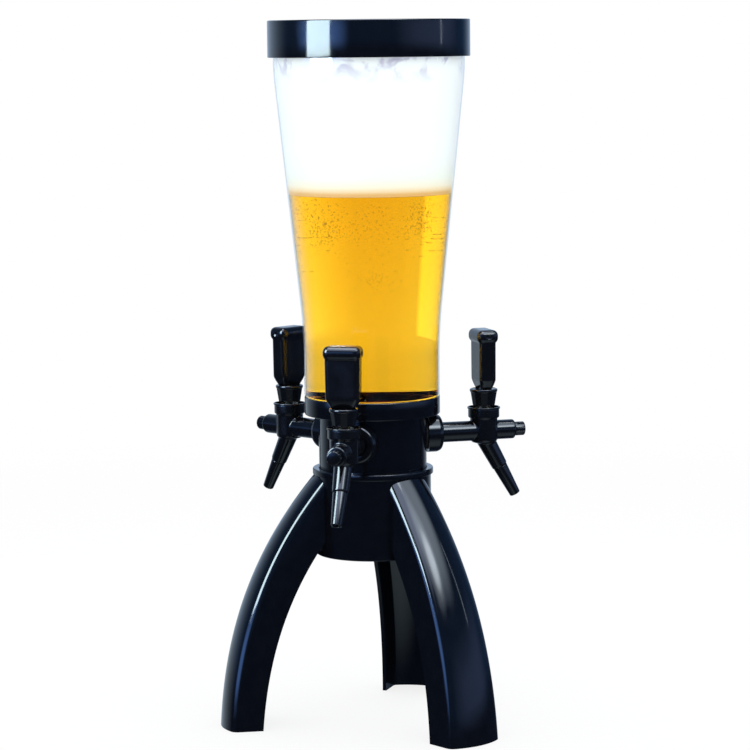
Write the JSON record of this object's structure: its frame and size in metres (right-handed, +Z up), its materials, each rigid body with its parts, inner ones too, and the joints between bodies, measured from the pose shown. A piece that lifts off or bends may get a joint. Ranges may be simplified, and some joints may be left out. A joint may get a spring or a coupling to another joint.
{
  "type": "table-top drinks tower",
  "caption": "Flared clear drinks tank with a lift-off lid, screwed into a tap housing with three lever taps on three curved legs.",
  "frame": {"origin": "on the tower's axis, at the surface its feet stand on", "axes": "+Z up the tower's axis; the front tap points along -Y"},
  "size_m": [0.2274, 0.2478, 0.55],
  "materials": {
    "black_abs": "high-gloss moulded",
    "tap_black": "satin moulded",
    "clear_polycarbonate": "clear polished",
    "acetal": "moulded",
    "rubber": "matte",
    "silicone": "translucent matte",
    "steel": "stainless"
  },
  "bodies": {
    "tower": {"hub": "black_abs", "tap_housing": "black_abs", "leg_right": "black_abs", "leg_screw_right": "steel", "leg_rear": "black_abs", "leg_screw_rear": "steel", "leg_left": "black_abs", "leg_screw_left": "steel", "housing_screw_1": "steel", "housing_screw_2": "steel", "housing_screw_3": "steel", "tap_body_front": "tap_black", "spout_nozzle_front": "tap_black", "wall_washer_front": "rubber", "flange_nut_front": "tap_black", "lock_nut_front": "tap_black", "end_nut_front": "tap_black", "ball_retainer_front": "acetal", "tap_body_right": "tap_black", "spout_nozzle_right": "tap_black", "wall_washer_right": "rubber", "flange_nut_right": "tap_black", "lock_nut_right": "tap_black", "end_nut_right": "tap_black", "ball_retainer_right": "acetal", "tap_body_left": "tap_black", "spout_nozzle_left": "tap_black", "wall_washer_left": "rubber", "flange_nut_left": "tap_black", "lock_nut_left": "tap_black", "end_nut_left": "tap_black", "ball_retainer_left": "acetal"},
    "gasket": {"tank_gasket": "silicone"},
    "tank": {"tank": "clear_polycarbonate"},
    "lid": {"lid": "black_abs"},
    "front_lever": {"lever_front": "steel", "ferrule_front": "tap_black", "handle_front": "tap_black"},
    "front_valve": {"valve_shaft_front": "acetal", "valve_seal_front": "silicone"},
    "right_lever": {"lever_right": "steel", "ferrule_right": "tap_black", "handle_right": "tap_black"},
    "right_valve": {"valve_shaft_right": "acetal", "valve_seal_right": "silicone"},
    "left_lever": {"lever_left": "steel", "ferrule_left": "tap_black", "handle_left": "tap_black"},
    "left_valve": {"valve_shaft_left": "acetal", "valve_seal_left": "silicone"}
  },
  "joints": [
    {"name": "tank_rise", "type": "slide", "parent": "tower", "child": "gasket", "axis": [0, 0, 1], "range_m": [0, 0.0084]},
    {"name": "tank_unscrew", "type": "hinge", "parent": "gasket", "child": "tank", "pos_m": [0, 0, 0.25], "axis": [0, 0, 1], "range_deg": [0, 720]},
    {"name": "lid_lift", "type": "slide", "parent": "tank", "child": "lid", "axis": [0, 0, 1], "range_m": [0, 0.06]},
    {"name": "front_lever_pull", "type": "hinge", "parent": "tower", "child": "front_lever", "pos_m": [0, -0.092, 0.241], "axis": [1, 0, 0], "range_deg": [0, 20]},
    {"name": "front_valve_slide", "type": "slide", "parent": "tower", "child": "front_valve", "axis": [0, 1, 0], "range_m": [0, 0.0055]},
    {"name": "right_lever_pull", "type": "hinge", "parent": "tower", "child": "right_lever", "pos_m": [0.07967, 0.046, 0.241], "axis": [-0.5, 0.866, 0], "range_deg": [0, 20]},
    {"name": "right_valve_slide", "type": "slide", "parent": "tower", "child": "right_valve", "axis": [-0.866, -0.5, 0], "range_m": [0, 0.0055]},
    {"name": "left_lever_pull", "type": "hinge", "parent": "tower", "child": "left_lever", "pos_m": [-0.07967, 0.046, 0.241], "axis": [-0.5, -0.866, 0], "range_deg": [0, 20]},
    {"name": "left_valve_slide", "type": "slide", "parent": "tower", "child": "left_valve", "axis": [0.866, -0.5, 0], "range_m": [0, 0.0055]}
  ],
  "couplings": [
    {"joint": "tank_rise", "follows": "tank_unscrew", "m_per_rad": 0.00063662},
    {"joint": "front_valve_slide", "follows": "front_lever_pull", "m_per_rad": 0.015},
    {"joint": "right_valve_slide", "follows": "right_lever_pull", "m_per_rad": 0.015},
    {"joint": "left_valve_slide", "follows": "left_lever_pull", "m_per_rad": 0.015}
  ]
}
